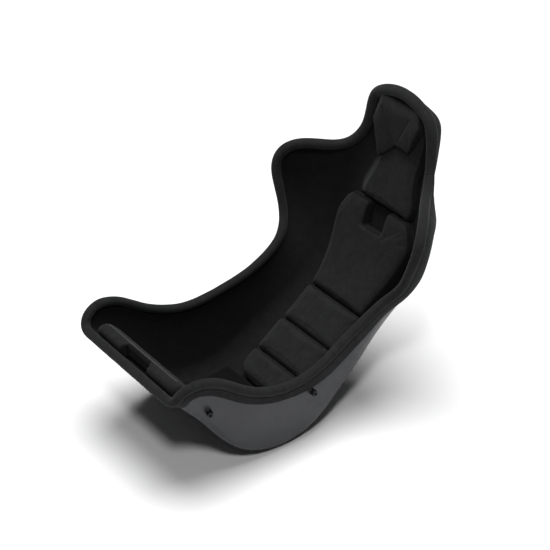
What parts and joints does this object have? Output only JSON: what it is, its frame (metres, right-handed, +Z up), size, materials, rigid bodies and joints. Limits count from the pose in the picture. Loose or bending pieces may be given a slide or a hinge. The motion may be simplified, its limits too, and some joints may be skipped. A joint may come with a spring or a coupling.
{
  "type": "racing bucket seat",
  "caption": "Fixed-back racing bucket seat: laminate shell, fabric lining, padded rim, loose pads held by hook-and-loop tape and side-mount inserts.",
  "frame": {"origin": "on the centre plane, under the middle of the seat's depth, at the height of its lowest point", "axes": "+X to the occupant's left, +Y to the back of the seat, +Z up; the occupant faces -Y"},
  "size_m": [0.5704, 0.8482, 0.7221],
  "materials": {
    "shell_laminate": "satin dark grey paint on glass-fibre laminate",
    "lining_fabric": "black brushed fabric",
    "edge_fabric": "black brushed fabric, stitched",
    "edge_foam": "black closed-cell foam bead",
    "pad_fabric": "black mottled woven fabric",
    "pad_foam": "grey polyurethane foam",
    "hook_tape": "black hook-and-loop tape",
    "insert_steel": "black zinc-plated steel"
  },
  "bodies": {
    "root": {"seat_shell": "shell_laminate", "inner_lining": "lining_fabric", "edge_foam_left": "edge_foam", "edge_foam_right": "edge_foam", "edge_cover_front": "edge_fabric", "edge_cover_left": "edge_fabric", "edge_cover_head": "edge_fabric", "edge_cover_right": "edge_fabric", "seat_pad_cover": "pad_fabric", "seat_pad_foam": "pad_foam", "seat_pad_tape": "hook_tape", "hip_pad_cover": "pad_fabric", "hip_pad_foam": "pad_foam", "hip_pad_tape": "hook_tape", "lumbar_pad_lower_cover": "pad_fabric", "lumbar_pad_lower_foam": "pad_foam", "lumbar_pad_lower_tape": "hook_tape", "lumbar_pad_upper_cover": "pad_fabric", "lumbar_pad_upper_foam": "pad_foam", "lumbar_pad_upper_tape": "hook_tape", "shoulder_pad_cover": "pad_fabric", "shoulder_pad_foam": "pad_foam", "shoulder_pad_tape": "hook_tape", "upper_back_pad_cover": "pad_fabric", "upper_back_pad_foam": "pad_foam", "upper_back_pad_tape": "hook_tape", "headrest_pad_cover": "pad_fabric", "headrest_pad_foam": "pad_foam", "headrest_pad_tape": "hook_tape", "thigh_pad_cover": "pad_fabric", "thigh_pad_foam": "pad_foam", "thigh_pad_tape": "hook_tape", "insert_front_left": "insert_steel", "insert_front_right": "insert_steel", "insert_rear_left": "insert_steel", "insert_rear_right": "insert_steel"}
  },
  "joints": []
}
